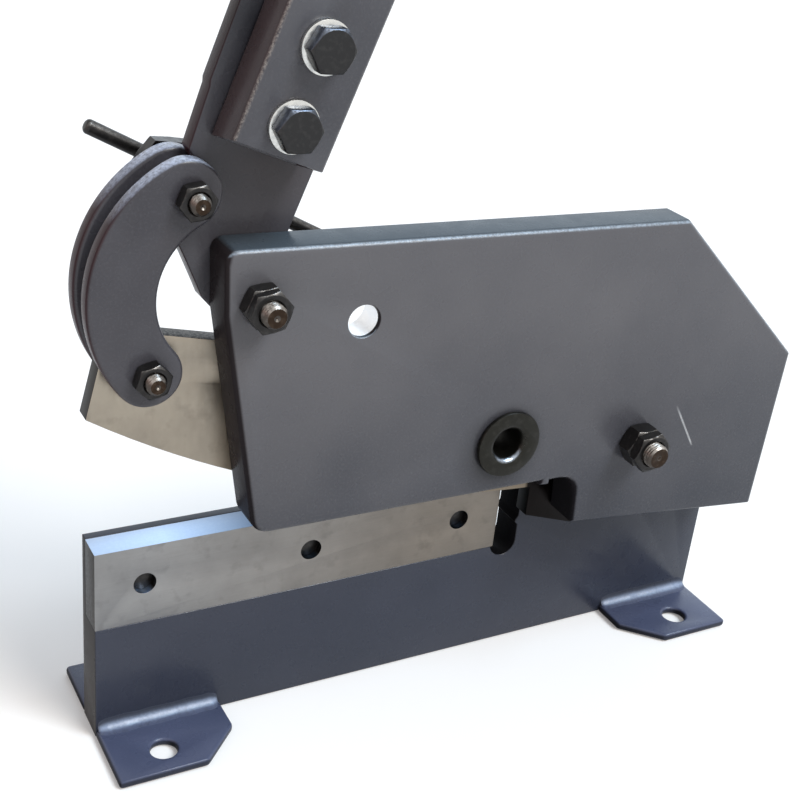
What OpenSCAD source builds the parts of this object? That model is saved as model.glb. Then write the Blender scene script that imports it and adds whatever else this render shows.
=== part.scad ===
// Hand lever bench shear for sheet and round bar, 200 mm blades.
// Lengths in millimetres. Inside each module x runs from the left end of the base,
// y runs back from the cutting plane and z is the height above the bench.

/* [Base] */
// Length of the base plate
base_l = 333; // [320:1:380]
// Thickness of the base plate and its column
base_t = 18; // [16:0.5:22]
// Height of the lower cutting edge above the bench
cut_h = 96; // [90:1:110]
// Depth of the front feet in front of the base plate
foot_out = 36; // [32:1:50]
// Depth of the rear feet behind the base plate
foot_out_rear = 30.5; // [30:0.5:50]
// Length of each foot along the base
foot_l = 58; // [52:1:70]
// Thickness of the feet
foot_t = 4; // [3:0.5:8]
// Diameter of the bench bolt holes
foot_hole_d = 12; // [9:0.5:13]

/* [Blades] */
// Length of the lower blade
blade_l = 200; // [180:1:202]
// Height of the lower blade
low_blade_h = 38.5; // [36:0.5:44]
// Thickness of the lower blade
low_blade_t = 13.5; // [11:0.5:14.5]
// Thickness of the moving blade and of the lever plate
blade_t = 8.6; // [8:0.1:10]
// Clear gap on each side of the moving blade
blade_gap = 0.2; // [0.1:0.05:0.3]
// Radius of the curved cutting edge
edge_r = 440; // [436:1:446]
// Diameter of the lower blade's screws
blade_screw_d = 10; // [8:0.5:12]

/* [Front plate] */
// Thickness of the front plate
plate_t = 18; // [15:0.5:20]
// Diameter of the open hole near the lever pivot
eye_d = 14; // [10:0.5:16]
// Bore of the two bar bushes
bar_d = 14.5; // [10:0.5:15]
// Outside diameter of the bar bushes
bush_d = 32; // [28:1:34]

/* [Linkage] */
// Thickness of each link
link_t = 8; // [6:0.5:9]
// Width of the link band
link_w = 27; // [24:1:27]
// Diameter of the lever pivot and of the handle and plate bolts
bolt_d = 10; // [8:0.5:10]
// Diameter of the two link bolts
link_bolt_d = 8; // [6:0.5:9]
// Diameter of the blade pivot
blade_bolt_d = 12; // [10:0.5:13]
// Running clearance of the pivots, on the radius
run_c = 0.06; // [0.03:0.01:0.1]

/* [Handle] */
// Length of the handle tube
handle_l = 420; // [300:10:500]
// Width of the handle tube
tube_w = 39; // [36:1:42]
// Depth of the handle tube
tube_d = 20; // [16:1:24]
// Wall of the handle tube
tube_wall = 2.5; // [2:0.25:3]
// Lean of the raised handle from upright
lean = 21; // [15:1:25]

/* [Hold down] */
// Diameter of the clamp screw's handle
handle_rod_d = 6; // [5:0.5:7]
// Length of the clamp handle
handle_rod_l = 183; // [150:5:200]
// Slope of the clamp handle below level
rod_slope = 27.3; // [20:0.1:30]

/* [Hidden] */
$fn = 64;

// Colours
paint = [0.26, 0.28, 0.31];
steel = [0.62, 0.61, 0.58];
black_steel = [0.16, 0.16, 0.17];
zinc = [0.80, 0.81, 0.82];

// Layers in depth: column, blades and lever, front plate
layer = blade_t + 2 * blade_gap;
plate_front = -layer - plate_t;
rear_face = base_t;
link_front = -layer - link_t;

// Sheet mouth and throat
mouth_h = 14;
wing_z = cut_h + mouth_h;
throat_x = blade_l + 5.9;
throat_r = 7.1;
throat_z = cut_h - 37.6;
// Rough nub in the right wall of the throat
nub = 2;
column_top = cut_h + 116;
column_shoulder_z = cut_h + 54;
column_shoulder_x = base_l - 71;

// Front plate corners
plate_top = cut_h + 139.6;
plate_top_right = cut_h + 135.2;
plate_low = cut_h + 12.4;
plate_right = base_l + 10.5;
plate_slope_x = base_l - 70.8;
plate_shoulder_z = cut_h + 60;
leg_left = throat_x + 18.1;
leg_low = cut_h - 14;
leg_low_right = cut_h - 26;
eye_x = 102.2;
eye_z = cut_h + 105;
bar_x = blade_l - 20;
bar_z = cut_h + 37;
eye_land = 3;
// Small tab left at the cut beside the drop leg
tab_w = 6;
tab_x = leg_left - 22;
tab_h = 2.2;
plate_low_left = 66.5;
plate_left = 42.6;
plate_bend_z = cut_h + 112;
plate_corner_r = 5;

// Pivots at rest, handle raised
lever_x = 57;
lever_z = cut_h + 118;
blade_x = base_l - 79;
blade_z = cut_h + 26;
upper_x = 33;
upper_z = cut_h + 157.2;
lower_x = 17.3;
lower_z = cut_h + 87.6;

// Hardware across flats and heights
nut_af = 16;
nut_h = 7;
lock_h = 4.5;
head_h = 6.4;
bolt_end = 4.5;
link_nut_af = 13;
link_nut_h = 6;
link_head_h = 5.3;
link_bolt_end = 3.5;
blade_nut_af = 18;
blade_nut_h = 9;
blade_lock_h = 5.5;
blade_head_h = 7.5;
pin_head_af = 28;
pin_head_h = 8;
washer_d = 20;
washer_t = 2;
bolt_r = bolt_d / 2;
bore_r = bolt_r + run_c;
link_bolt_r = link_bolt_d / 2;
blade_screw_r = blade_screw_d / 2;
blade_bolt_r = blade_bolt_d / 2;

// Link band: both ends lie on one circle, the upper end a little off its bolt
link_top_x = upper_x - 2;
link_top_z = upper_z + 1.3;
link_dx = link_top_x - lower_x;
link_dz = link_top_z - lower_z;
link_span = sqrt(link_dx * link_dx + link_dz * link_dz);
link_bow = 29;
link_cx = (link_top_x + lower_x) / 2 + link_bow * link_dz / link_span;
link_cz = (link_top_z + lower_z) / 2 - link_bow * link_dx / link_span;
link_r = sqrt(link_span * link_span / 4 + link_bow * link_bow);
link_eye_r = link_w / 2 - 0.1;

// Room for the lower pin in the moving blade
pin_room_w = link_bolt_d + 2.2;
pin_room_l = 11.4;
pin_room_x = 12.3;
pin_room_z = cut_h + 89.9;
pin_room_tilt = 157;

// Lever plate, measured from its pivot across and along the handle
lever_left = -43.7;
lever_right = 9.5;
lever_top = 130;
lever_step_z = 68;
hub_r = 15;
lever_eye_r = 11;
tube_off = -16.9;
tube_start = 54.4;
tube_slant = 3.5;
tube_corner_r = 2.2;
first_bolt = 12.1;
bolt_pitch = 30;

// Moving blade corners
tip_x = -5.4;
tip_z = cut_h + 68.9;
edge_cx = 233.8;
edge_cz = cut_h - 2.3 + edge_r;
tail = 27;
heel_left = throat_x + 4.4;
heel_low = cut_h - 27;
heel_rise = 9.5;
spacer_left = blade_x + tail + 8;
spacer_right = base_l - 4;

// Hold down
clamp_x = blade_l - 42;
clamp_z = cut_h + 93.4;
wing_left = clamp_x - 16;
finger_w = 20;
finger_t = 6;
finger_low = wing_z + 4;
finger_h = 98;
pin_z = cut_h + 54;
hub_d = 18;
rod_y = rear_face + 20;
hub_end = rod_y + 9;
slack = 0.1;
finger_y = rear_face + slack;
washer_y = finger_y + finger_t + slack;
clamp_face = washer_y + washer_t;
rod_left = handle_rod_l - 15;

// Bench bolts
hole_in = 24;
hole_out = 22;

// Puts the middle of the four bench bolt holes at the origin
module seat() translate([-base_l / 2, -base_t / 2, 0]) children();

// A plate with its outline in x and z, from depth y0 over thickness t
module slab(y0, t) translate([0, y0 + t, 0]) rotate([90, 0, 0]) linear_extrude(t) children();

// A round bar along y, from depth y0 over length l
module bar(x, z, y0, l, r) translate([x, y0 + l, z]) rotate([90, 0, 0]) cylinder(h = l, r = r);

// A round bar along y whose two ends differ in radius, front end first
module taper(x, z, y0, l, r_front, r_back)
    translate([x, y0 + l, z]) rotate([90, 0, 0]) cylinder(h = l, r1 = r_back, r2 = r_front);

// A hexagon along y, across flats af, turned by turn degrees
module hexagon(x, z, y0, l, af, turn = 0)
    translate([x, y0 + l, z]) rotate([90, 0, 0]) rotate(turn) cylinder(h = l, r = af / sqrt(3), $fn = 6);

// A hexagon whose outer corners are turned down to a cone on its front side
module hex_front(x, z, y0, l, af, turn = 0) intersection() {
    hexagon(x, z, y0, l, af, turn);
    union() {
        bar(x, z, y0 + 1.5, l, af);
        taper(x, z, y0, 1.5, af / 2 - 0.4, af / 2 + 2.2);
    }
}

// The same with the cone on its back side
module hex_back(x, z, y0, l, af, turn = 0) intersection() {
    hexagon(x, z, y0, l, af, turn);
    union() {
        bar(x, z, y0 - 1.5, l, af);
        taper(x, z, y0 + l - 1.5, 1.5, af / 2 + 2.2, af / 2 - 0.4);
    }
}

// A nut with its bore, cone to the front
module nut(x, z, y0, h, af, turn, r = bolt_r) difference() {
    hex_front(x, z, y0, h, af, turn);
    bar(x, z, y0 - 1, h + 2, r);
}

// A bolt from its head behind depth y1 to its bevelled front end at y0
module bolt(x, z, y0, y1, turn, af = nut_af, h = head_h, r = bolt_r) {
    bar(x, z, y0 + 1, y1 - y0, r);
    taper(x, z, y0, 1, r - 1, r);
    hex_back(x, z, y1, h, af, turn);
}

// Points along an arc
function arc(x, z, r, a0, a1, n = 6) =
    [for (i = [0:n]) [x + r * cos(a0 + (a1 - a0) * i / n), z + r * sin(a0 + (a1 - a0) * i / n)]];

// The lever pivot's own axes: across and along the raised handle
module along_handle() translate([lever_x, 0, lever_z]) rotate([0, lean, 0]) children();

module base_outline() polygon(concat(
    [[0, 0], [base_l, 0], [base_l, column_shoulder_z], [column_shoulder_x, column_top],
        [wing_left + 10, column_top], [wing_left, column_top - 10], [wing_left, wing_z]],
    arc(throat_x + throat_r - 4, wing_z - 4, 4, 90, 0, 3),
    [[throat_x + throat_r, throat_z + 14], [throat_x + throat_r - nub, throat_z + 11.2],
        [throat_x + throat_r, throat_z + 9]],
    arc(throat_x, throat_z, throat_r, 0, -180, 14),
    [[throat_x - throat_r, cut_h], [0, cut_h]]));

module base_plate() color(paint) seat() difference() {
    slab(0, base_t) base_outline();
    // rebate behind the lower blade
    translate([-1, -1, cut_h - low_blade_h]) cube([blade_l + 1, low_blade_t + 1, low_blade_h + 1]);
    for (x = blade_screw_x()) bar(x, blade_screw_z(), low_blade_t - 1, base_t, blade_screw_r);
    bar(bar_x, bar_z, -1, base_t + 2, bush_d / 2);
    bar(blade_x, blade_z, -1, base_t + 2, blade_bolt_r);
    bar(clamp_x, clamp_z, -1, base_t + 2, bore_r);
    bar(clamp_x, pin_z, base_t - 10, 12, bolt_r);
    for (p = plate_bolt_places()) bar(p[0], p[1], -1, base_t + 2, bolt_r);
}

function blade_screw_x() = [blade_l / 2 - 78, blade_l / 2, blade_l / 2 + 78];
function blade_screw_z() = cut_h - low_blade_h / 2 + 0.5;

module foot(x0, side, front) {
    corner = 18;
    outer = side > 0 ? x0 + foot_l : x0;
    inner = side > 0 ? x0 : x0 + foot_l;
    step = side > 0 ? corner : -corner;
    near = front ? 0 : base_t;
    far = front ? -foot_out : base_t + foot_out_rear;
    bend = front ? corner : -corner;
    hole_x = side > 0 ? outer - hole_in : outer + hole_in;
    hole_y = front ? -hole_out : base_t + hole_out;
    difference() {
        linear_extrude(foot_t)
            polygon([[outer, near], [outer, far], [inner + step, far], [inner, far + bend], [inner, near]]);
        translate([hole_x, hole_y, -1]) cylinder(h = foot_t + 2, d = foot_hole_d);
    }
}

module foot_front_left() color(paint) seat() foot(0, -1, true);
module foot_front_right() color(paint) seat() foot(base_l - foot_l, 1, true);
module foot_rear_left() color(paint) seat() foot(0, -1, false);
module foot_rear_right() color(paint) seat() foot(base_l - foot_l, 1, false);

// Fillet welds along the feet, in front of and behind the base plate
module foot_welds() color(paint) seat() {
    leg = 3.5;
    inset = 2;
    for (x = [inset, base_l - foot_l + inset]) {
        translate([x, 0, foot_t]) rotate([90, 0, 90])
            linear_extrude(foot_l - 2 * inset) polygon([[0, 0], [-leg, 0], [0, leg]]);
        translate([x, base_t, foot_t]) rotate([90, 0, 90])
            linear_extrude(foot_l - 2 * inset) polygon([[0, 0], [leg, 0], [0, leg]]);
    }
}

module lower_blade() color(steel) seat() difference() {
    translate([0, 0, cut_h - low_blade_h]) cube([blade_l, low_blade_t, low_blade_h]);
    for (x = blade_screw_x()) {
        bar(x, blade_screw_z(), -1, low_blade_t + 2, blade_screw_r);
    }
}

// Screws from behind, their threaded ends short of the blade's face
module lower_blade_screws() color(black_steel) seat() {
    for (x = blade_screw_x()) {
        bar(x, blade_screw_z(), 3.5, base_t - 3.5, blade_screw_r);
        hex_back(x, blade_screw_z(), base_t, head_h, nut_af);
    }
}

module plate_outline() polygon(concat(
    [[plate_slope_x, plate_top_right], [plate_right, plate_shoulder_z]],
    [[plate_right - 3, leg_low_right], [leg_left, leg_low]],
    arc(leg_left - 10, plate_low - 9.4, 9, 0, 90, 5),
    [[tab_x + tab_w, plate_low - 0.3], [tab_x + tab_w, plate_low - tab_h - 0.6], [tab_x, plate_low - tab_h],
        [tab_x, plate_low]],
    arc(plate_low_left, plate_low + 9.3, 8.5, -90, -168, 5),
    [[plate_left + 0.7, plate_bend_z]],
    arc(plate_left + plate_corner_r, plate_top - plate_corner_r, plate_corner_r, 176, 90, 4)));

module front_plate() color(paint) seat() difference() {
    slab(plate_front, plate_t) plate_outline();
    bar(eye_x, eye_z, plate_front - 1, plate_t + 2, eye_d / 2);
    bar(eye_x, eye_z, plate_front + eye_land, plate_t, eye_d / 2 + 2);
    bar(bar_x, bar_z, plate_front - 1, plate_t + 2, bush_d / 2 - 4);
    bar(lever_x, lever_z, plate_front - 1, plate_t + 2, bolt_r);
    bar(blade_x, blade_z, plate_front - 1, plate_t + 2, blade_bolt_r);
    for (p = plate_bolt_places()) bar(p[0], p[1], -layer - 12, 13, bolt_r);
}

function plate_bolt_places() = [[base_l - 27, cut_h + 4], [base_l - 27, cut_h + 42]];

module plate_spacer() color(paint) seat() difference() {
    slab(-layer, layer) polygon([[spacer_left, leg_low + 4], [spacer_right, leg_low + 4],
        [spacer_right, column_shoulder_z - 4], [spacer_right - 14, column_shoulder_z + 8],
        [spacer_left, column_shoulder_z + 8]]);
    for (p = plate_bolt_places()) bar(p[0], p[1], -layer - 1, layer + 2, bolt_r);
}

module plate_bolts() color(black_steel) seat()
    for (p = plate_bolt_places()) bolt(p[0], p[1], -layer - 11, base_t, 15);

// Flanged bush in the front plate, its mouth bevelled for the bar
module front_bar_bush() color(black_steel) seat() difference() {
    union() {
        bar(bar_x, bar_z, plate_front - 2.5, 2.5, bush_d / 2);
        bar(bar_x, bar_z, plate_front, plate_t, bush_d / 2 - 4);
    }
    bar(bar_x, bar_z, plate_front - 4, plate_t + 6, bar_d / 2);
    taper(bar_x, bar_z, plate_front - 4, 3.5, bar_d / 2 + 3.5, bar_d / 2);
}

module rear_bar_bush() color(black_steel) seat() difference() {
    bar(bar_x, bar_z, 0, base_t, bush_d / 2);
    bar(bar_x, bar_z, -1, base_t + 2, bar_d / 2);
}

module lever_pivot_bolt() color(black_steel) seat()
    bolt(lever_x, lever_z, plate_front - nut_h - lock_h - bolt_end, blade_gap, 10);

module lever_pivot_nut() color(black_steel) seat()
    nut(lever_x, lever_z, plate_front - nut_h, nut_h, nut_af, 5);

module lever_pivot_lock_nut() color(black_steel) seat()
    nut(lever_x, lever_z, plate_front - nut_h - lock_h, lock_h, nut_af, 10);

module blade_pivot_bolt() color(black_steel) seat()
    bolt(blade_x, blade_z, plate_front - blade_nut_h - blade_lock_h - bolt_end, base_t, 10,
        blade_nut_af, blade_head_h, blade_bolt_r);

module blade_pivot_nut() color(black_steel) seat()
    nut(blade_x, blade_z, plate_front - blade_nut_h, blade_nut_h, blade_nut_af, 0, blade_bolt_r);

module blade_pivot_lock_nut() color(black_steel) seat()
    nut(blade_x, blade_z, plate_front - blade_nut_h - blade_lock_h, blade_lock_h, blade_nut_af, 10,
        blade_bolt_r);

// Dowel that keeps the hold-down finger upright
module guide_pin() color(steel) seat()
    bar(clamp_x, pin_z, base_t - 10, 10 + finger_t + 1, bolt_r);

// Lever outline across and along the handle, from its pivot
module lever_outline() polygon(concat(
    [[lever_left - 1, lever_top - 6], [lever_left + 5, lever_top], [lever_right - 6, lever_top],
        [lever_right, lever_top - 6], [lever_right, 26]],
    arc(0, 0, hub_r, 25, -112, 14),
    [[-14.2, -9.4], [-17.8, -5.6], [-26.9, 3.6]],
    arc(upper_pin_in_lever()[0], upper_pin_in_lever()[1], lever_eye_r, -130, -270, 8),
    [[lever_left + 2, upper_pin_in_lever()[1] + 15.2], [lever_left + 0.7, lever_step_z - 1],
        [lever_left, lever_step_z + 1]]));

// The upper link pin seen in the lever's own axes
function upper_pin_in_lever() =
    [(upper_x - lever_x) * cos(lean) - (upper_z - lever_z) * sin(lean),
        (upper_x - lever_x) * sin(lean) + (upper_z - lever_z) * cos(lean)];

function handle_bolt_heights() = [tube_start + first_bolt, tube_start + first_bolt + bolt_pitch];

module lever_plate() color(paint) seat() along_handle() difference() {
    slab(-layer + blade_gap, blade_t) lever_outline();
    bar(0, 0, -layer - 1, layer + 2, bore_r);
    bar(upper_pin_in_lever()[0], upper_pin_in_lever()[1], -layer - 1, layer + 2,
        link_bolt_r + run_c);
    for (z = handle_bolt_heights()) bar(tube_off, z, -layer - 1, layer + 2, bolt_r);
}

// Rectangular tube with round corners; the lever plate backs it
module tube_outline(w, d, r) polygon(concat(
    arc(w / 2 - r, d / 2 - r, r, 0, 90, 4), arc(-w / 2 + r, d / 2 - r, r, 90, 180, 4),
    arc(-w / 2 + r, -d / 2 + r, r, 180, 270, 4), arc(w / 2 - r, -d / 2 + r, r, 270, 360, 4)));

tube_back = -layer + blade_gap;
tube_front = tube_back - tube_d;

// The lower end is cut on a slant, its back lower than its front
module handle_tube() color(paint) seat() along_handle() difference() {
    translate([tube_off, tube_back - tube_d / 2, tube_start - tube_slant])
        linear_extrude(handle_l + tube_slant) difference() {
            tube_outline(tube_w, tube_d, tube_corner_r);
            tube_outline(tube_w - 2 * tube_wall, tube_d - 2 * tube_wall, 1);
        }
    translate([tube_off - tube_w / 2 - 1, 0, tube_start]) rotate([90, 0, 90]) linear_extrude(tube_w + 2)
        polygon([[tube_back + 1, -tube_slant], [tube_back + 1, -tube_slant - 2],
            [tube_front - 1, -tube_slant - 2], [tube_front - 1, 0], [tube_front, 0],
            [tube_back, -tube_slant]]);
    for (z = handle_bolt_heights()) bar(tube_off, z, tube_front - 1, tube_d + 2, bolt_r);
}

module handle_end_cap() color(black_steel) seat() along_handle()
    translate([tube_off, tube_back - tube_d / 2, tube_start + handle_l]) {
        linear_extrude(3) tube_outline(tube_w, tube_d, tube_corner_r);
        translate([0, 0, -12]) linear_extrude(12)
            tube_outline(tube_w - 2 * tube_wall, tube_d - 2 * tube_wall, 1);
    }

// Bolts through tube and lever, heads in front
module handle_bolts() color(black_steel) seat() along_handle()
    for (z = handle_bolt_heights()) {
        hex_front(tube_off, z, tube_front - washer_t - head_h, head_h, nut_af, 19);
        bar(tube_off, z, tube_front - washer_t, tube_d + washer_t + blade_t + nut_h + 1.5, bolt_r);
    }

module handle_washers() color(zinc) seat() along_handle()
    for (z = handle_bolt_heights()) difference() {
        bar(tube_off, z, tube_front - washer_t, washer_t, washer_d / 2);
        bar(tube_off, z, tube_front - washer_t - 1, washer_t + 2, bolt_r);
    }

module handle_nuts() color(black_steel) seat() along_handle()
    for (z = handle_bolt_heights()) difference() {
        hex_back(tube_off, z, -blade_gap, nut_h, nut_af, 18);
        bar(tube_off, z, -blade_gap - 1, nut_h + 2, bolt_r);
    }

module link_outline() {
    a0 = atan2(link_top_z - link_cz, link_top_x - link_cx);
    a1 = atan2(lower_z - link_cz, lower_x - link_cx) + 360;
    reach = 2 * link_r;
    intersection() {
        difference() {
            translate([link_cx, link_cz]) circle(r = link_r + link_w / 2, $fn = 96);
            translate([link_cx, link_cz]) circle(r = link_r - link_w / 2, $fn = 96);
        }
        polygon([[link_cx, link_cz], [link_cx + reach * cos(a0), link_cz + reach * sin(a0)],
            [link_cx - 1.5 * reach, link_cz + reach], [link_cx - 1.5 * reach, link_cz - reach],
            [link_cx + reach * cos(a1), link_cz + reach * sin(a1)]]);
    }
    translate([link_top_x, link_top_z]) circle(r = link_eye_r);
    translate([lower_x, lower_z]) circle(r = link_eye_r);
}

module link(y0) difference() {
    slab(y0, link_t) link_outline();
    for (p = [[upper_x, upper_z], [lower_x, lower_z]]) bar(p[0], p[1], y0 - 1, link_t + 2, link_bolt_r);
}

module front_link() color(paint) seat() link(link_front);
module rear_link() color(paint) seat() link(0);

module upper_link_bolt() color(black_steel) seat()
    bolt(upper_x, upper_z, link_front - link_nut_h - link_bolt_end, link_t, -7, pin_head_af, pin_head_h,
        link_bolt_r);
module upper_link_nut() color(black_steel) seat()
    nut(upper_x, upper_z, link_front - link_nut_h, link_nut_h, link_nut_af, 8, link_bolt_r);
module lower_link_bolt() color(black_steel) seat()
    bolt(lower_x, lower_z, link_front - link_nut_h - link_bolt_end, link_t, 20, link_nut_af, link_head_h,
        link_bolt_r);
module lower_link_nut() color(black_steel) seat()
    nut(lower_x, lower_z, link_front - link_nut_h, link_nut_h, link_nut_af, 14, link_bolt_r);

// Slanted slot that leaves the lower pin room over the whole swing
module pin_room() translate([pin_room_x, pin_room_z]) rotate(pin_room_tilt)
    polygon(concat(arc(pin_room_l / 2, 0, pin_room_w / 2, -90, 90, 10),
        arc(-pin_room_l / 2, 0, pin_room_w / 2, 90, 270, 10)));

module moving_blade() color(steel) seat() difference() {
    slab(-layer + blade_gap, blade_t) difference() {
        polygon([[tip_x - 4.5, heel_low + heel_rise], [tip_x - 4.5, tip_z - 19], [tip_x + 8.7, tip_z + 36.4],
            [blade_x + 8, blade_z + 23.4], [blade_x + tail, blade_z + 8], [blade_x + tail, blade_z - 14],
            [blade_x + 4, heel_low], [blade_x - 16, heel_low], [heel_left, heel_low + heel_rise]]);
        // curved cutting edge, left of the heel that drops past the throat
        difference() {
            translate([tip_x - 6, heel_low - 2]) square([heel_left - tip_x + 6, tip_z + 12 - heel_low]);
            translate([edge_cx, edge_cz]) circle(r = edge_r, $fn = 360);
        }
        pin_room();
    }
    bar(blade_x, blade_z, -layer - 1, layer + 2, blade_bolt_r + run_c);
    bar(bar_x, bar_z, -layer - 1, layer + 2, bar_d / 2);
}

// Slotted bar that presses the sheet down behind the blades
module hold_down_finger() color(steel) seat() difference() {
    half = finger_w / 2;
    slab(finger_y, finger_t) translate([clamp_x, finger_low]) polygon([[-half, 6], [6 - half, 0],
        [half - 6, 0], [half, 6], [half, finger_h], [-half, finger_h]]);
    slab(finger_y - 1, finger_t + 2) polygon(concat(arc(clamp_x, clamp_z + 17.6, bolt_r + 0.4, 0, 180, 8),
        arc(clamp_x, pin_z - 13, bolt_r + 0.4, 180, 360, 8)));
}

module clamp_washer() color(zinc) seat() difference() {
    bar(clamp_x, clamp_z, washer_y, washer_t, washer_d / 2);
    bar(clamp_x, clamp_z, washer_y - 1, washer_t + 2, bolt_r);
}

// Screw with a round head bored for the clamp handle
module clamp_screw() color(black_steel) seat() difference() {
    union() {
        bar(clamp_x, clamp_z, 1, clamp_face - 1, bolt_r);
        bar(clamp_x, clamp_z, clamp_face, hub_end - clamp_face, hub_d / 2);
    }
    translate([clamp_x, rod_y, clamp_z]) rotate([0, 90 + rod_slope, 0])
        cylinder(h = hub_d * 2, r = handle_rod_d / 2, center = true);
}

module clamp_handle() color(black_steel) seat()
    translate([clamp_x, rod_y, clamp_z]) rotate([0, 90 + rod_slope, 0]) translate([0, 0, -rod_left]) {
        cylinder(h = 1, r1 = handle_rod_d / 2 - 1, r2 = handle_rod_d / 2);
        translate([0, 0, 1]) cylinder(h = handle_rod_l - 2, r = handle_rod_d / 2);
        translate([0, 0, handle_rod_l - 1])
            cylinder(h = 1, r1 = handle_rod_d / 2, r2 = handle_rod_d / 2 - 1);
    }

base_plate();
foot_front_left();
foot_front_right();
foot_rear_left();
foot_rear_right();
foot_welds();
lower_blade();
lower_blade_screws();
front_plate();
plate_spacer();
plate_bolts();
front_bar_bush();
rear_bar_bush();
lever_pivot_bolt();
lever_pivot_nut();
lever_pivot_lock_nut();
blade_pivot_bolt();
blade_pivot_nut();
blade_pivot_lock_nut();
guide_pin();
lever_plate();
handle_tube();
handle_end_cap();
handle_bolts();
handle_washers();
handle_nuts();
front_link();
rear_link();
upper_link_bolt();
upper_link_nut();
lower_link_bolt();
lower_link_nut();
moving_blade();
hold_down_finger();
clamp_screw();
clamp_washer();
clamp_handle();
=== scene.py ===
import math
import random
import bmesh
import bpy
from mathutils import Matrix, Vector


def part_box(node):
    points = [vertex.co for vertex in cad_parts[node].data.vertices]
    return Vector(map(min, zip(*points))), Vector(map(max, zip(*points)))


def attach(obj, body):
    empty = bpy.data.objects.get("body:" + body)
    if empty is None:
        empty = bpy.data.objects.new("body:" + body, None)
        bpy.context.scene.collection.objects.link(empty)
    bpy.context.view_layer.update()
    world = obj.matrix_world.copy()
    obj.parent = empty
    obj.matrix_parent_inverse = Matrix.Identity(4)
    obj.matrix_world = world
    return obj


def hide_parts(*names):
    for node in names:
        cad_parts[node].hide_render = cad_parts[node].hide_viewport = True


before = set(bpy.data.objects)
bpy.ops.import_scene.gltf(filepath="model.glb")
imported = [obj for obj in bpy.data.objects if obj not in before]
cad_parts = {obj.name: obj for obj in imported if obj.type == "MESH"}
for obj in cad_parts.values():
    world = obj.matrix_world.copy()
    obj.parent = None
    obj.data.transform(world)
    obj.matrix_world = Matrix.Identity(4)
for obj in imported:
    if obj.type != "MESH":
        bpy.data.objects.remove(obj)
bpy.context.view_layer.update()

# Viewpoint: a camera held a little above the handle pivot, to the left of the front,
# rolled so that the right end of the shear rises in the picture.
heading, tilt = math.radians(30.62), math.radians(26.16)
forward = Vector((math.sin(heading) * math.cos(tilt), math.cos(heading) * math.cos(tilt), -math.sin(tilt)))
rightward = Vector((0.8794, -0.4667, 0.0942)).normalized()
rightward = (rightward - forward * rightward.dot(forward)).normalized()
upward = rightward.cross(forward)
stand = Matrix.Translation((-0.2990, -0.4665, 0.4088))
eye = bpy.data.objects.new("eye", bpy.data.cameras.new("eye"))
eye.data.sensor_width = 36
eye.data.lens = 60.07
eye.data.clip_start, eye.data.clip_end = 0.02, 60
eye.matrix_world = stand @ Matrix((rightward, upward, -forward)).transposed().to_4x4()
bpy.context.scene.collection.objects.link(eye)
bpy.context.scene.camera = eye
bpy.context.scene.view_settings.view_transform = "Standard"


# Bench and light: a pale bench top that keeps the soft shadow, in an even white room.
# One broad lamp stands in front and to the right, two cool ones overhead and behind,
# and a weak warm one at the far left.
def feed(tree, socket, value):
    if isinstance(value, bpy.types.NodeSocket):
        tree.links.new(value, socket)
    else:
        socket.default_value = value


def add(tree, kind, inputs, **settings):
    node = tree.nodes.new(kind)
    for name, value in settings.items():
        setattr(node, name, value)
    for name, value in inputs.items():
        feed(tree, node.inputs[name], value)
    return node.outputs


def maths(tree, operation, *values):
    return add(tree, "ShaderNodeMath", dict(enumerate(values)), operation=operation)[0]


room = bpy.data.worlds.new("white_room")
room.use_nodes = True
bpy.context.scene.world = room
tree = room.node_tree
rays = add(tree, "ShaderNodeLightPath", {})
seen = rays["Is Camera Ray"]
for ray in ("Is Glossy Ray", "Is Transmission Ray"):
    seen = maths(tree, "MAXIMUM", seen, rays[ray])
grey_light = tree.nodes["Background"]
grey_light.inputs["Color"].default_value = (0.43, 0.445, 0.47, 1)
grey_light.inputs["Strength"].default_value = 1
white_light = add(tree, "ShaderNodeBackground", {"Color": (1, 1, 1, 1)})
daylight = add(tree, "ShaderNodeMixShader", {0: seen, 1: grey_light.outputs[0], 2: white_light[0]})
feed(tree, tree.nodes["World Output"].inputs["Surface"], daylight[0])


def broad_lamp(name, towards, strength, spread, colour):
    lamp = bpy.data.objects.new(name, bpy.data.lights.new(name, "SUN"))
    lamp.data.energy = strength
    lamp.data.angle = math.radians(spread)
    lamp.data.color = colour
    lamp.rotation_mode = "QUATERNION"
    lamp.rotation_quaternion = Vector(towards).to_track_quat("-Z", "Y")
    bpy.context.scene.collection.objects.link(lamp)


broad_lamp("lamp_front_right", (-0.45, 0.80, -1.00), strength=1.95, spread=28, colour=(1, 0.985, 0.96))
broad_lamp("lamp_overhead", (-0.45, 0.35, -0.90), strength=1.25, spread=24, colour=(0.50, 0.75, 1))
broad_lamp("lamp_behind", (-0.50, -0.80, -0.62), strength=0.50, spread=50, colour=(0.62, 0.82, 1))
broad_lamp("lamp_far_left", (1.0, 0.15, -0.12), strength=0.35, spread=50, colour=(1, 0.42, 0.36))


def tree_and_coat(finish):
    return finish.node_tree, finish.node_tree.nodes["Principled BSDF"].inputs


def new_finish(name):
    finish = bpy.data.materials.new(name)
    finish.use_nodes = True
    return finish, *tree_and_coat(finish)


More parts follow.
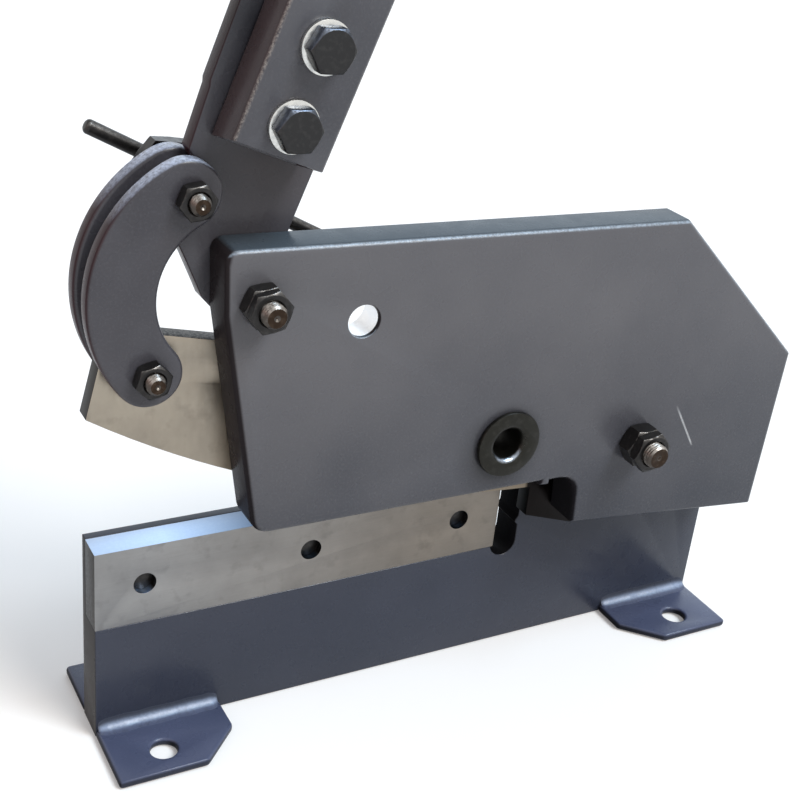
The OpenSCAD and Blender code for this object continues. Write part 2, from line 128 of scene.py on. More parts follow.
mm = 0.001
half_bench = 12
bench_corners = [(x * half_bench, y * half_bench, 0) for x, y in ((-1, -1), (1, -1), (1, 1), (-1, 1))]
bench_mesh = bpy.data.meshes.new("bench_top")
bench_mesh.from_pydata(bench_corners, [], [(0, 1, 2, 3)])
bench = bpy.data.objects.new("bench_top", bench_mesh)
bench.location.z = -0.4 * mm
bpy.context.scene.collection.objects.link(bench)
pale, tree, coat = new_finish("pale_bench")
coat["Base Color"].default_value = (0.86, 0.82, 0.78, 1)
coat["Roughness"].default_value = 0.9
coat["Specular IOR Level"].default_value = 0
seen = add(tree, "ShaderNodeLightPath", {})["Is Camera Ray"]
glow = add(tree, "ShaderNodeEmission", {"Strength": maths(tree, "MULTIPLY", seen, 0.18)})
lit = add(tree, "ShaderNodeAddShader", {0: tree.nodes["Principled BSDF"].outputs[0], 1: glow[0]})
feed(tree, tree.nodes["Material Output"].inputs["Surface"], lit[0])
bench_mesh.materials.append(pale)


# Base plate with its column, and the four feet: flame-cut mild steel, edges broken,
# sprayed with a dark blue-grey hammered paint that dries in a fine pebbled skin.
# Surfaces that face the top, the left, the front or the rear can take painted light or shade of their own.
top, left, front, rear = (0, 0, 1), (-1, 0, 0), (0, -1, 0), (0, 1, 0)


def coordinates(tree):
    node = tree.nodes.get("Texture Coordinate") or tree.nodes.new("ShaderNodeTexCoord")
    return node.outputs


def vectors(tree, operation, *values):
    made = add(tree, "ShaderNodeVectorMath", dict(enumerate(values)), operation=operation)
    return made["Value" if operation in ("DISTANCE", "DOT_PRODUCT", "LENGTH") else "Vector"]


def between(tree, value, low, high, to_low=0.0, to_high=1.0):
    inputs = {"Value": value, "From Min": low, "From Max": high, "To Min": to_low, "To Max": to_high}
    return add(tree, "ShaderNodeMapRange", inputs)["Result"]


def pattern(tree, size, detail, stretch=(1, 1, 1), rough=0.5):
    stretched = vectors(tree, "MULTIPLY", coordinates(tree)["Object"], stretch)
    inputs = {"Vector": stretched, "Scale": 1 / size, "Detail": detail, "Roughness": rough}
    return add(tree, "ShaderNodeTexNoise", inputs)["Fac"]


def mixed(tree, share, first, second, kind="RGBA", blend="MIX"):
    first, second = ((*side, 1) if isinstance(side, tuple) else side for side in (first, second))
    inputs = {"Factor": share, "A": first, "B": second}
    return add(tree, "ShaderNodeMix", inputs, data_type=kind, blend_type=blend)["Result"]


def product(tree, first, *others):
    for share in others:
        first = maths(tree, "MULTIPLY", first, share)
    return first


def facing(tree, direction, low, high):
    turned = vectors(tree, "DOT_PRODUCT", coordinates(tree)["Normal"], direction)
    return between(tree, turned, low, high)


def close_to(tree, centre, far, near=0.0):
    away = vectors(tree, "DISTANCE", coordinates(tree)["Object"], centre)
    return between(tree, away, far, near)


def along(tree, axis, start, end):
    parts = add(tree, "ShaderNodeSeparateXYZ", {0: coordinates(tree)["Object"]})
    return between(tree, parts[axis], start, end)


def current(socket):
    return socket.links[0].from_socket if socket.is_linked else socket.default_value


def covered(finish, share, colour):
    tree, coat = tree_and_coat(finish)
    feed(tree, coat["Base Color"], mixed(tree, share, current(coat["Base Color"]), colour))


def shaded(finish, share, factor):
    tree, coat = tree_and_coat(finish)
    darker = mixed(tree, share, current(coat["Base Color"]), factor, blend="MULTIPLY")
    feed(tree, coat["Base Color"], darker)


def duller(finish, share, least):
    tree, coat = tree_and_coat(finish)
    level = coat["Specular IOR Level"]
    feed(tree, level, maths(tree, "MULTIPLY", between(tree, share, 0, 1, 1, least), current(level)))


def pebbled(finish, size, depth, strength):
    tree, coat = tree_and_coat(finish)
    inputs = {"Distance": depth, "Strength": strength, "Height": pattern(tree, size, 1.5)}
    feed(tree, coat["Normal"], add(tree, "ShaderNodeBump", inputs)[0])


def hammered_paint(name, light, dark, fleck, painted_light_rise=None):
    finish, tree, coat = new_finish(name)
    cloud = between(tree, pattern(tree, 60 * mm, 3), 0.35, 0.65)
    # With a rise given, the colour grows lighter upwards: painted light falling from above.
    if painted_light_rise:
        cloud = mixed(tree, 0.25, along(tree, "Z", *painted_light_rise), cloud, "FLOAT")
    grain = between(tree, pattern(tree, 1.0 * mm, 1), 0.5, 0.75, 0, 0.3)
    haze = between(tree, pattern(tree, 9 * mm, 2), 0.3, 0.7, 0.24, 0.34)
    feed(tree, coat["Base Color"], mixed(tree, grain, mixed(tree, cloud, dark, light), fleck))
    feed(tree, coat["Roughness"], haze)
    coat["Specular IOR Level"].default_value = 0.38
    pebbled(finish, size=1.5 * mm, depth=0.09 * mm, strength=0.6)
    return finish


def tinted(finish, direction, low, high, factor, least):
    share = facing(finish.node_tree, direction, low, high)
    shaded(finish, share, factor)
    duller(finish, share, least)


# Faces turned to the left are darkened and warmed: painted shade, the light coming from the right, with a
# warm painted reflection.
def painted_shade_on_left(finish, factor):
    tinted(finish, left, 0.45, 0.85, factor, least=0.3)


# Walls near a point that face neither front nor rear turn near-black and lose their gloss: painted deep
# shade inside the slot and throat.
def painted_deep_shade(finish, centre, reach):
    tree = finish.node_tree
    inside = close_to(tree, centre, reach, reach * 0.85)
    walls = product(tree, facing(tree, front, 0.75, 0.45), facing(tree, rear, 0.75, 0.45))
    share = product(tree, inside, walls)
    deep_shade_colour = (0.010, 0.010, 0.011)
    covered(finish, share, deep_shade_colour)
    duller(finish, share, least=0.05)


# Darkens the colour within reach of a point, most at the point: painted shade under and beside overhanging
# parts.
def painted_shade_near(finish, centre, reach, factor):
    shaded(finish, close_to(finish.node_tree, centre, reach), factor)


# The frame paint is the plate's paint made darker and bluer: painted shade on the base below the front
# plate.
frame_paint = hammered_paint(
    "frame_paint", light=(0.036, 0.041, 0.060), dark=(0.026, 0.031, 0.048), fleck=(0.052, 0.058, 0.078)
)
# Painted shade: the left end darker and warmer, the slot walls near-black, the base darker under the front
# plate and darkest at the mouth of the slot.
painted_shade_on_left(frame_paint, factor=(0.9, 0.75, 0.5))
base_slot, slot_mouth = (40 * mm, 0, 76 * mm), (48 * mm, -9 * mm, 92 * mm)
under_plate = (88 * mm, -9 * mm, 66 * mm)
painted_deep_shade(frame_paint, base_slot, reach=32 * mm)
painted_shade_near(frame_paint, under_plate, reach=85 * mm, factor=(0.62, 0.62, 0.66))
painted_shade_near(frame_paint, slot_mouth, reach=26 * mm, factor=(0.20, 0.20, 0.22))
# The feet take a lighter and bluer copy of the frame paint: painted light on their tops. Faces not turned
# up and faces turned left are darkened back: painted shade.
foot_paint = hammered_paint(
    "foot_paint", light=(0.072, 0.084, 0.142), dark=(0.055, 0.065, 0.112), fleck=(0.095, 0.108, 0.165)
)
tinted(foot_paint, top, 0.5, 0.1, factor=(0.42, 0.40, 0.36), least=0.4)
painted_shade_on_left(foot_paint, factor=(0.3, 0.28, 0.26))


def shape_group(name):
    group = bpy.data.node_groups.new(name, "GeometryNodeTree")
    for way in ("INPUT", "OUTPUT"):
        group.interface.new_socket("Geometry", in_out=way, socket_type="NodeSocketGeometry")
    return group, group.nodes.new("NodeGroupInput").outputs, group.nodes.new("NodeGroupOutput").inputs


gentle_bend, sharp_corner = math.radians(26), math.radians(35)
smoothing, start, end = shape_group("soft_normals")
bend = add(smoothing, "GeometryNodeInputMeshEdgeAngle", {})["Unsigned Angle"]
gentle = add(smoothing, "FunctionNodeCompare", {"A": bend, "B": gentle_bend}, operation="LESS_EQUAL")
all_soft = add(smoothing, "GeometryNodeSetShadeSmooth", {"Geometry": start[0]})
inputs = {"Geometry": all_soft[0], "Shade Smooth": gentle["Result"]}
crisp = add(smoothing, "GeometryNodeSetShadeSmooth", inputs, domain="EDGE")
feed(smoothing, end[0], crisp[0])


def smooth(piece):
    piece.modifiers.new("smoothing", "NODES").node_group = smoothing


def dress(name, finish, edge, steps=2, join_within=0.002 * mm, worn=None):
    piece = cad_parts[name]
    piece.data.materials.clear()
    piece.data.materials.append(finish)
    piece.modifiers.new("join_corners", "WELD").merge_threshold = join_within
    flat = piece.modifiers.new("one_face_each", "DECIMATE")
    flat.decimate_type = "DISSOLVE"
    flat.angle_limit = math.radians(0.6)
    if worn:
        piece.modifiers.new("worn_front", "NODES").node_group = worn
    broken = piece.modifiers.new("broken_edge", "BEVEL")
    broken.width = edge
    broken.segments = steps
    broken.limit_method = "WEIGHT" if worn else "ANGLE"
    broken.angle_limit = sharp_corner
    broken.use_clamp_overlap = False
    broken.harden_normals = False
    smooth(piece)
    return piece


dress("base_plate", frame_paint, 0.7 * mm, steps=3)
for foot in ("foot_front_left", "foot_front_right", "foot_rear_left", "foot_rear_right"):
    dress(foot, foot_paint, 1.5 * mm, steps=4)


# Weld beads along the feet: hollow fillets run by hand, a little uneven,
# painted over with the rest of the frame.
# Edges turned both up and to the front grow patchily lighter: wear, and a painted highlight of the light
# from above.
def wear_and_highlight_on_edges(finish, low, high, colour, most, least=0.25):
    tree = finish.node_tree
    corner = product(tree, facing(tree, top, low, high), facing(tree, front, low, high))
    patchy = between(tree, pattern(tree, 1.2 * mm, 3, rough=0.7), 0.36, 0.60, least * most, most)
    covered(finish, product(tree, corner, patchy), colour)


# Faces turned up grow patchily lighter: wear, and a painted highlight of the light from above.
def wear_and_highlight_on_tops(finish, low, high, colour, most):
    tree = finish.node_tree
    patchy = between(tree, pattern(tree, 1.6 * mm, 4, rough=0.7), 0.36, 0.62, 0.35 * most, most)
    covered(finish, product(tree, facing(tree, top, low, high), patchy), colour)


def skin(name, rings, finish, closed=False):
    count = len(rings[0])
    points = [point for ring in rings for point in ring]
    faces = []
    for i in range(len(rings) if closed else len(rings) - 1):
        a = i * count
        b = (i + 1) % len(rings) * count
        for j in range(count):
            k = (j + 1) % count
            faces.append((a + j, a + k, b + k, b + j))
    if not closed:
        faces.append(tuple(reversed(range(count))))
        faces.append(tuple(range(len(points) - count, len(points))))
    mesh = bpy.data.meshes.new(name)
    mesh.from_pydata(points, [], faces)
    mesh.materials.append(finish)
    mesh.validate()
    piece = bpy.data.objects.new(name, mesh)
    bpy.context.scene.collection.objects.link(piece)
    outwards = bmesh.new()
    outwards.from_mesh(mesh)
    bmesh.ops.recalc_face_normals(outwards, faces=outwards.faces)
    outwards.to_mesh(mesh)
    outwards.free()
    smooth(piece)
    return piece


def bead_rings(x0, x1, face_y, out, dice):
    foot_top, sunk = 4 * mm, -0.3 * mm
    leg_size, leg_sway, hollow = 6.4 * mm, 0.5 * mm, 0.985
    ripple_height, ripple_length = 0.005 * mm, 2.3 * mm
    beat, end_steps, arc_steps = 12, 8, 8
    steps = round((x1 - x0) / (0.5 * mm))
    sway = [dice.uniform(-1, 1) for _ in range(steps // beat + 3)]
    rings = []
    for i in range(steps + 1):
        x = x0 + (x1 - x0) * i / steps
        k, f = divmod(i / beat, 1)
        drift = sway[int(k)] * (1 - f) + sway[int(k) + 1] * f
        taper = 0.55 + 0.45 * min(1, min(i, steps - i) / end_steps) ** 0.5
        leg = (leg_size + leg_sway * drift) * taper
        ripple = ripple_height * math.cos(math.tau * x / ripple_length + 3 * drift)
        ring = [(x, face_y + out * sunk, foot_top + sunk)]
        for j in range(arc_steps + 1):
            a = math.pi / 2 * j / arc_steps
            y = leg * (1 - hollow * math.sin(a))
            z = leg * (1 - hollow * math.cos(a))
            if j == 0:
                y, z = leg, sunk
            if j == arc_steps:
                y, z = sunk, leg
            swell = ripple * math.sin(2 * a)
            ring.append((x, face_y + out * (y + swell), foot_top + z + swell))
        rings.append(ring)
    return rings


bead_paint = hammered_paint(
    "bead_paint", light=(0.038, 0.043, 0.063), dark=(0.028, 0.033, 0.050), fleck=(0.052, 0.058, 0.078)
)
# The bead's upper faces take the lighter foot colour, a bluish line runs along the fillet and its front is
# darkened: painted light, painted highlight and painted shade.
wear_and_highlight_on_tops(bead_paint, 0.55, 0.95, colour=(0.066, 0.078, 0.132), most=1.4)
wear_and_highlight_on_edges(bead_paint, 0.34, 0.72, colour=(0.34, 0.41, 0.55), most=0.9, least=0.75)
tinted(bead_paint, front, 0.80, 0.97, factor=(0.75, 0.75, 0.75), least=0.4)
dice = random.Random(7)
foot_box, base_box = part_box("foot_front_left"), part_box("base_plate")
foot_run = foot_box[1].x - foot_box[0].x
for side, x0 in (("left", base_box[0].x), ("right", base_box[1].x - foot_run)):
    for place, face_y, out in (("front", base_box[0].y, -1), ("rear", base_box[1].y, 1)):
        rings = bead_rings(x0 + 1 * mm, x0 + foot_run - 1 * mm, face_y, out, dice)
        bead = skin("weld_bead_" + place + "_" + side, rings, bead_paint)
        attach(bead, "frame")
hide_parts("foot_welds")


# Lower blade: hardened flat bar, surface-ground on the face and the cutting edge,
# let into the base flush and held by three screws from behind.
def ground_steel(name, colour, shade, lay):
    finish, tree, coat = new_finish(name)
    cloud = between(tree, pattern(tree, 22 * mm, 4, rough=0.6), 0.3, 0.7)
    stain = between(tree, pattern(tree, 7 * mm, 3), 0.56, 0.75, 0, 0.5)
    stain_colour = tuple(part * 0.72 for part in shade)
    lines = pattern(tree, 1 * mm, 3, stretch=lay)
    coat["Metallic"].default_value = 1
    feed(tree, coat["Base Color"], mixed(tree, stain, mixed(tree, cloud, colour, shade), stain_colour))
    feed(tree, coat["Roughness"], between(tree, lines, 0.3, 0.7, 0.30, 0.46))
    inputs = {"Distance": 0.02 * mm, "Strength": 0.35, "Height": lines}
    feed(tree, coat["Normal"], add(tree, "ShaderNodeBump", inputs)[0])
    return finish


def faded(tree, colour, start, end, factor):
    return mixed(tree, along(tree, "X", start, end), colour, factor, blend="MULTIPLY")


# The narrow faces take colours apart from the wide ones, told from them by the axis that they face.
def narrow_faces(finish, axis, low, high, colours, roughness, wide_fade, narrow_fade):
    tree, coat = tree_and_coat(finish)
    normal = add(tree, "ShaderNodeSeparateXYZ", {0: coordinates(tree)["Normal"]})
    narrow = between(tree, maths(tree, "ABSOLUTE", normal[axis]), low, high)
    speckle = between(tree, pattern(tree, 1.1 * mm, 4, rough=0.7), 0.42, 0.68)
    narrow_colour = faded(tree, mixed(tree, speckle, *colours), *narrow_fade)
    wide_colour = faded(tree, current(coat["Base Color"]), *wide_fade)
    # Faces turned to the left are made near-black: painted shade.
    left_end_colour = (0.040, 0.037, 0.034)
    feed(tree, coat["Base Color"], mixed(tree, narrow, wide_colour, narrow_colour))
    covered(finish, facing(tree, left, 0.5, 0.8), left_end_colour)
    feed(tree, coat["Roughness"], mixed(tree, narrow, current(coat["Roughness"]), roughness, "FLOAT"))


blade_steel = ground_steel(
    "blade_steel", colour=(0.36, 0.355, 0.35), shade=(0.29, 0.285, 0.28), lay=(0.06, 0.5, 1.6)
)
# The top faces take a pale blue: a painted reflection of the sky, fading out towards the right. The ground
# face darkens towards its right end below the front plate: painted shade.
narrow_faces(
    blade_steel, axis="Z", low=0.5, high=0.8,
    colours=((0.42, 0.54, 0.74), (0.46, 0.58, 0.76)), roughness=0.32,
    wide_fade=(-145 * mm, -5 * mm, (0.74, 0.66, 0.57)),
    narrow_fade=(-135 * mm, -95 * mm, (0.21, 0.23, 0.25)),
)
dress("lower_blade", blade_steel, 0.25 * mm)


# Screws, nuts and bushes: machine steel blackened in oil, satin, a little brighter
# where spanners and the bar have rubbed, and with painted highlights on their upper front edges.
def blackened_steel(name, colour, worn):
    finish, tree, coat = new_finish(name)
    coat["Metallic"].default_value = 0.85
    rub = between(tree, pattern(tree, 2.2 * mm, 4), 0.5, 0.78, 0, 0.6)
    haze = between(tree, pattern(tree, 4 * mm, 2), 0.3, 0.7, 0.28, 0.44)
    feed(tree, coat["Base Color"], mixed(tree, rub, colour, worn))
    feed(tree, coat["Roughness"], haze)
    pebbled(finish, size=0.6 * mm, depth=0.03 * mm, strength=0.3)
    return finish


black_steel = blackened_steel("black_steel", colour=(0.034, 0.032, 0.031), worn=(0.075, 0.070, 0.066))
wear_and_highlight_on_edges(black_steel, 0.35, 0.60, colour=(0.16, 0.15, 0.14), most=0.8)
bush_steel = blackened_steel("bush_steel", colour=(0.024, 0.023, 0.019), worn=(0.050, 0.048, 0.042))
# The upper front edges of the bushes carry a pale blue painted highlight.
wear_and_highlight_on_edges(bush_steel, 0.35, 0.60, colour=(0.36, 0.40, 0.46), most=0.9, least=0.75)
dress("lower_blade_screws", black_steel, 0.3 * mm)
dress("plate_bolts", black_steel, 0.4 * mm)
for name, edge in (("front_bar_bush", 1.0 * mm), ("rear_bar_bush", 0.5 * mm)):
    dress(name, bush_steel, edge)


# Front plate: the thick flame-cut plate that carries both pivots, its edges ground round
# by hand, painted like the base. The wall of its open hole is left bare and bright,
# and one scratch shows the primer near the blade pivot.
def bare_bore(finish, centre, reach, land):
    tree, coat = tree_and_coat(finish)
    wall = product(tree, close_to(tree, centre, reach, reach * 0.9), facing(tree, front, 0.9, 0.6))
    share = product(tree, wall, along(tree, "Y", land - 0.3 * mm, land))
    cloud = between(tree, pattern(tree, 4 * mm, 2), 0.3, 0.7)
    bright, less_bright = (1, 1, 1), (0.93, 0.94, 0.96)
    covered(finish, share, mixed(tree, cloud, bright, less_bright))
    feed(tree, coat["Metallic"], share)
    feed(tree, coat["Roughness"], mixed(tree, share, current(coat["Roughness"]), 0.45, "FLOAT"))


def scratched(finish, start, end, width, colour):
    tree = finish.node_tree
    length = (end - start).length
    run = (end - start) / length
    across = Vector((run.z, 0, -run.x))
    offset = vectors(tree, "SUBTRACT", coordinates(tree)["Object"], start)
    aside = maths(tree, "ABSOLUTE", vectors(tree, "DOT_PRODUCT", offset, across))
    passed = vectors(tree, "DOT_PRODUCT", offset, run)
    thin = between(tree, aside, width * 0.5, width * 0.15)
    begun = between(tree, passed, 0, length * 0.25)
    ended = between(tree, passed, length, length * 0.93)
    ragged = between(tree, pattern(tree, 0.8 * mm, 2), 0.3, 0.5, 0.35, 1)
    covered(finish, product(tree, thin, begun, ended, ragged), colour)


# Sharp edges are rounded in full at the front, less behind it and less around the open hole.
def worn_front(depth, behind, hole, hole_reach, at_hole):
    group, start, end = shape_group("worn_front")
    place = add(group, "GeometryNodeInputPosition", {})[0]
    bend = add(group, "GeometryNodeInputMeshEdgeAngle", {})["Unsigned Angle"]
    in_front = maths(group, "LESS_THAN", add(group, "ShaderNodeSeparateXYZ", {0: place})["Y"], depth)
    sharp = maths(group, "GREATER_THAN", bend, sharp_corner)
    away = vectors(group, "DISTANCE", place, hole)
    off_hole = between(group, away, hole_reach, hole_reach + 1 * mm, at_hole, 1)
    amount = product(group, between(group, in_front, 0, 1, behind, 1), sharp, off_hole)
    inputs = {"Geometry": start[0], "Name": "bevel_weight_edge", "Value": amount}
    kept = add(group, "GeometryNodeStoreNamedAttribute", inputs, data_type="FLOAT", domain="EDGE")
    feed(group, end[0], kept[0])
    return group


# The plate paint is lighter than the frame paint and grows lighter upwards: painted light.
plate_paint = hammered_paint(
    "plate_paint", light=(0.112, 0.107, 0.112), dark=(0.028, 0.031, 0.042), fleck=(0.13, 0.128, 0.135),
    painted_light_rise=(80 * mm, 190 * mm),
)
# Painted shade on the left side and on the top, which also turns bluer; a painted highlight with some wear
# along the upper front edges; painted deep shade in the throat and painted shade below the bush.
tinted(plate_paint, left, 0.20, 0.55, factor=(0.24, 0.21, 0.21), least=0.05)
tinted(plate_paint, top, 0.8, 0.95, factor=(0.58, 0.76, 0.86), least=0.22)
wear_and_highlight_on_edges(plate_paint, 0.35, 0.60, colour=(0.34, 0.40, 0.46), most=0.8)
front_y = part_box("front_plate")[0].y
throat, below_bush = (54 * mm, -12 * mm, 82 * mm), (10 * mm, front_y, 129 * mm)
painted_deep_shade(plate_paint, throat, reach=30 * mm)
painted_shade_near(plate_paint, below_bush, reach=25 * mm, factor=(0.05, 0.05, 0.06))
hole = Vector((-64.3 * mm, front_y, 201 * mm))
mid_hole = hole + Vector((0, 9 * mm, 0))
bare_bore(plate_paint, mid_hole, reach=15 * mm, land=front_y + 2.2 * mm)
scratch_start = Vector((109 * mm, front_y, 137.5 * mm))
scratch_end = Vector((124.4 * mm, front_y, 112.9 * mm))
scratched(plate_paint, scratch_start, scratch_end, width=1.3 * mm, colour=(0.42, 0.42, 0.42))
hand_ground = worn_front(front_y + 1 * mm, behind=0.25, hole=hole, hole_reach=12 * mm, at_hole=0.3)
dress("front_plate", plate_paint, 2.5 * mm, steps=5, worn=hand_ground)
dress("plate_spacer", frame_paint, 0.8 * mm, steps=3)


# Pivot bolts: turned studs with rolled thread ends through the nuts, hexagon heads behind.
# Nuts and lock nuts have turned corners on both faces and a small bevel at the bore.
sides = 72


def circle_ring(axis, y, radius, turn=0.0):
    x, z = axis
    angles = [math.tau * i / sides + turn for i in range(sides)]
    return [(x + radius * math.cos(a), y, z + radius * math.sin(a)) for a in angles]


def axis_of(node):
    low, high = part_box(node)
    return ((low.x + high.x) / 2, (low.z + high.z) / 2), low.y, high.y


def hexagon_ring(axis, y, across, cap, turn):
    x, z = axis
    ring = []
    for i in range(sides):
        a = math.tau * i / sides
        r = min(cap, across / 2 / math.cos(a % (math.pi / 3) - math.pi / 6))
        ring.append((x + r * math.cos(a + turn), y, z + r * math.sin(a + turn)))
    return ring


def hexagon_wall(axis, y0, y1, across, turn, front_turned):
    slope, face, steps = math.sqrt(3), across * 0.475, 4
    depth = (across / slope - face) / slope
    turned = [(depth * i / steps, face + slope * depth * i / steps) for i in range(steps + 1)]
    front_profile = turned if front_turned else [(0, across)]
    rings = [hexagon_ring(axis, y0 + inset, across, cap, turn) for inset, cap in front_profile]
    return rings + [hexagon_ring(axis, y1 - inset, across, cap, turn) for inset, cap in reversed(turned)]


def thread_rings(axis, y0, y1, radius):
    x, z = axis
    pitch, depth = 1.5 * mm, 0.55 * mm
    lead_depth, lead_length = 1.1 * mm, 1.2 * mm
    steps = round((y1 - y0) / (pitch / 8))
    rings = []
    for i in range(steps + 1):
        y = y0 + (y1 - y0) * i / steps
        point = radius - lead_depth * (1 - min(1, (y - y0) / lead_length))
        ring = []
        for j in range(sides):
            a = math.tau * j / sides
            wave = abs(((y / pitch - a / math.tau) % 1) * 2 - 1)
            r = min(radius - depth * wave, point)
            ring.append((x + r * math.cos(a), y, z + r * math.sin(a)))
        rings.append(ring)
    return rings


def turned_bolt(name, node, body, turn, bolt, head, across):
    axis, tip, back = axis_of(node)
    radius, thread_length, run_out = bolt / 2, 22 * mm, 0.6 * mm
    thread_end, head_start = tip + thread_length, back - head
    centre_mark = ((0.5 * mm, 0.06), (0.2 * mm, 0.18), (0, 0.26), (0, 0.72))
    rings = [circle_ring(axis, tip + depth, radius * share) for depth, share in centre_mark]
    rings += thread_rings(axis, tip, thread_end, radius)
    rings += [circle_ring(axis, y, radius) for y in (thread_end + run_out, head_start)]
    rings += hexagon_wall(axis, head_start, back, across, math.radians(turn), front_turned=False)
    piece = skin(name, rings, bolt_steel)
    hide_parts(node)
    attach(piece, body)


def nut(name, node, body, turn, bore, across):
    axis, face, back = axis_of(node)
    turn, wall, lead = math.radians(turn), bore / 2, 0.7 * mm
    bore_front = ((face + lead, wall), (face, wall + lead))
    bore_back = ((back, wall + lead), (back - lead, wall))
    rings = [circle_ring(axis, y, radius, turn) for y, radius in bore_front]
    rings += hexagon_wall(axis, face, back, across, turn, front_turned=True)
    rings += [circle_ring(axis, y, radius, turn) for y, radius in bore_back]
    piece = skin(name, rings, black_steel, closed=True)
    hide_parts(node)
    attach(piece, body)


bolt_steel = blackened_steel("bolt_steel", colour=(0.075, 0.064, 0.055), worn=(0.22, 0.20, 0.18))
# The upper front edges of the thread ends grow lighter: wear and a painted highlight.
wear_and_highlight_on_edges(bolt_steel, 0.30, 0.55, colour=(0.42, 0.38, 0.34), most=0.8)
tinted(bolt_steel, front, 0.90, 0.98, factor=(0.50, 0.38, 0.30), least=0.3)
shaded(bolt_steel, along(bolt_steel.node_tree, "Y", -20 * mm, -12 * mm), factor=(0.25, 0.28, 0.34))
bore_play = 0.1
# Bolt, nut across flats, head length and head across flats in mm, then the turns in degrees.
for name, body, bolt, across, head, head_across, turn, nuts in (
    ("lever_pivot", "frame", 10, 16, 6.4, 16, 10, (("nut", 5), ("lock_nut", 10))),
    ("blade_pivot", "frame", 12, 18, 7.5, 18, 10, (("nut", 0), ("lock_nut", 10))),
    ("lower_link", "links", 8, 13, 5.3, 13, 20, (("nut", 14),)),
    ("upper_link", "links", 8, 13, 8, 28, -7, (("nut", 8),)),
):
    turned_bolt(name + "_turned_bolt", name + "_bolt", body, turn, bolt * mm, head * mm, head_across * mm)
    bore = (bolt + bore_play) * mm
    for kind, nut_turn in nuts:
        nut(name + "_turned_" + kind, name + "_" + kind, body, nut_turn, bore, across * mm)
dress("guide_pin", bolt_steel, 0.5 * mm)


# Lever plate and links: flame-cut plate, edges broken by grinding, painted like the frame.
# The lever turns in the slot between front plate and column, the links stand on both sides of it.
lever_paint = hammered_paint(
    "lever_paint", light=(0.076, 0.072, 0.080), dark=(0.046, 0.043, 0.049), fleck=(0.095, 0.092, 0.100)
)
# Left faces darker and redder: painted shade with a warm painted reflection. Tops patchily pale blue: wear
# and a painted highlight. Darker below and beside the handle tube: painted shade.
painted_shade_on_left(lever_paint, factor=(0.50, 0.20, 0.22))
wear_and_highlight_on_tops(lever_paint, 0.52, 0.90, colour=(0.56, 0.62, 0.76), most=0.95)
below_tube, behind_tube = (-100 * mm, -9 * mm, 262 * mm), (-112 * mm, -18 * mm, 316 * mm)
painted_shade_near(lever_paint, below_tube, reach=34 * mm, factor=(0.62, 0.50, 0.44))
painted_shade_near(lever_paint, behind_tube, reach=62 * mm, factor=(0.30, 0.32, 0.36))
for name, edge in (("lever_plate", 0.8 * mm), ("front_link", 1.8 * mm), ("rear_link", 1.8 * mm)):
    dress(name, lever_paint, edge, steps=4, join_within=0.3 * mm)


# Handle: a rectangular steel tube bolted to the lever plate, painted, the paint rubbed
# off along its corners, with a moulded plug in the upper end.
def rubbed_corner(finish, corner, run, width, bare):
    tree = finish.node_tree
    offset = vectors(tree, "SUBTRACT", coordinates(tree)["Object"], corner)
    away = vectors(tree, "LENGTH", vectors(tree, "CROSS_PRODUCT", offset, run))
    patchy = between(tree, pattern(tree, 0.9 * mm, 4, rough=0.75), 0.40, 0.60)
    covered(finish, product(tree, between(tree, away, width, width * 0.35), patchy), bare)


handle_paint = hammered_paint(
    "handle_paint", light=(0.090, 0.089, 0.098), dark=(0.062, 0.061, 0.069), fleck=(0.115, 0.113, 0.120)
)
# Left faces darker and warmer: painted shade with a warm painted reflection.
painted_shade_on_left(handle_paint, factor=(0.62, 0.46, 0.43))
(pivot_x, pivot_z), _, _ = axis_of("lever_pivot_bolt")
lean = math.radians(21)
tube_run = (math.sin(lean), 0, math.cos(lean))
tube_front, tube_left, tube_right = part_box("handle_tube")[0].y, -36.4 * mm, 2.6 * mm
for x in (tube_left, tube_right):
    corner = (pivot_x + x * math.cos(lean), tube_front, pivot_z - x * math.sin(lean))
    rubbed_corner(handle_paint, corner, tube_run, width=1.5 * mm, bare=(0.44, 0.40, 0.36))
dress("handle_tube", handle_paint, 0.4 * mm)

cap_finish, tree, coat = new_finish("moulded_cap")
mottle = between(tree, pattern(tree, 5 * mm, 3), 0.3, 0.7)
feed(tree, coat["Base Color"], mixed(tree, mottle, (0.018, 0.018, 0.019), (0.028, 0.028, 0.03)))
coat["Roughness"].default_value = 0.5
pebbled(cap_finish, size=0.5 * mm, depth=0.03 * mm, strength=0.4)
dress("handle_end_cap", cap_finish, 1.0 * mm, steps=3)


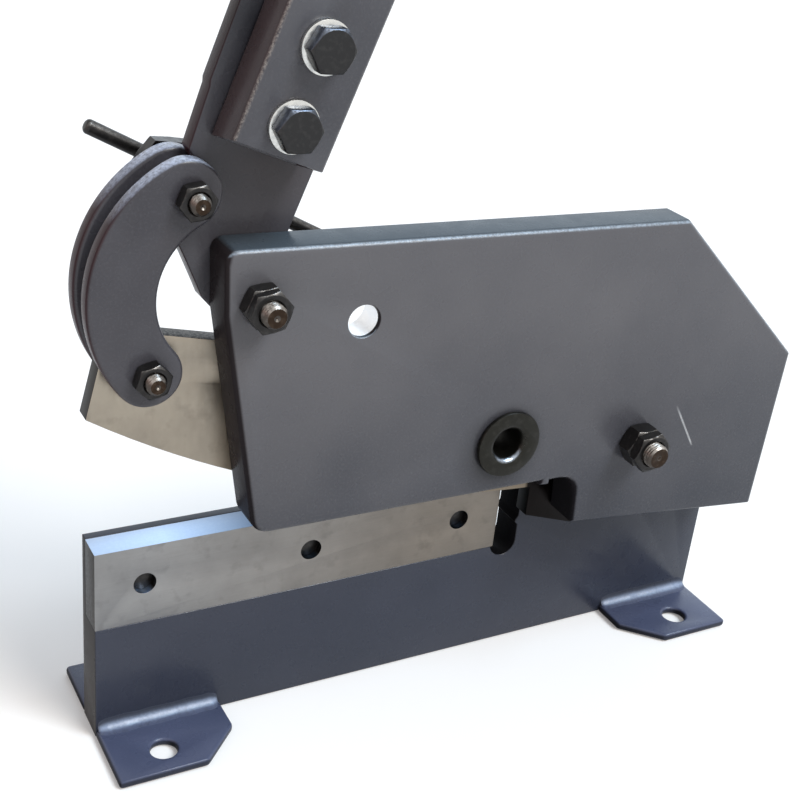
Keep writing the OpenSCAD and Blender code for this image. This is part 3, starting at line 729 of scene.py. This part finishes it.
# Handle bolts: blackened hexagon bolts on bright zinc washers, heads bare,
# with nuts behind the lever plate. The clamp screw has a washer of the same kind.
zinc, tree, coat = new_finish("zinc")
bloom = between(tree, pattern(tree, 2.5 * mm, 3), 0.35, 0.65)
coat["Metallic"].default_value = 1
feed(tree, coat["Base Color"], mixed(tree, bloom, (0.78, 0.77, 0.73), (0.60, 0.60, 0.58)))
feed(tree, coat["Roughness"], between(tree, bloom, 0, 1, 0.2, 0.36))
pebbled(zinc, size=0.8 * mm, depth=0.02 * mm, strength=0.3)
dress("handle_washers", zinc, 0.35 * mm)
dress("clamp_washer", zinc, 0.35 * mm)
head_steel = blackened_steel("head_steel", colour=(0.036, 0.035, 0.035), worn=(0.065, 0.062, 0.060))
# Upward faces of the heads turn patchily pale blue: a painted highlight with a little wear.
wear_and_highlight_on_tops(head_steel, 0.2, 0.6, colour=(0.16, 0.19, 0.25), most=0.8)
dress("handle_bolts", head_steel, 0.4 * mm)
dress("handle_nuts", black_steel, 0.45 * mm)


# Moving blade: ground like the lower one, its other edges left dark from the cutting flame,
# the slot for the lower link pin milled on a slant. Its heel in the throat is darkened to near black:
# painted deep shade over its own dark steel.
swing_steel = ground_steel(
    "swing_steel", colour=(0.43, 0.375, 0.30), shade=(0.34, 0.295, 0.24), lay=(0.5, 0.5, 0.10)
)
heel_start, heel_end = 40.5 * mm, 42.5 * mm
# The ground face darkens towards the front plate's left edge: painted shadow of the plate.
narrow_faces(
    swing_steel, axis="Y", low=0.8, high=0.5,
    colours=((0.030, 0.029, 0.030), (0.16, 0.15, 0.14)), roughness=0.5,
    wide_fade=(-121 * mm, -113 * mm, (0.66, 0.62, 0.58)),
    narrow_fade=(heel_start, heel_end, (0.2, 0.2, 0.2)),
)
# The heel turns near-black: painted deep shade.
shaded(swing_steel, along(swing_steel.node_tree, "X", heel_start, heel_end), factor=(0.04, 0.04, 0.05))
dress("moving_blade", swing_steel, 0.35 * mm)


# Hold-down: a slotted bar behind the column, clamped by a screw whose long rod handle
# crosses behind the lever.
link_steel = ground_steel(
    "link_steel", colour=(0.30, 0.29, 0.27), shade=(0.24, 0.23, 0.21), lay=(0.5, 0.5, 0.10)
)
dress("hold_down_finger", link_steel, 0.5 * mm)
for name in ("clamp_screw", "clamp_handle"):
    dress(name, black_steel, 0.5 * mm)
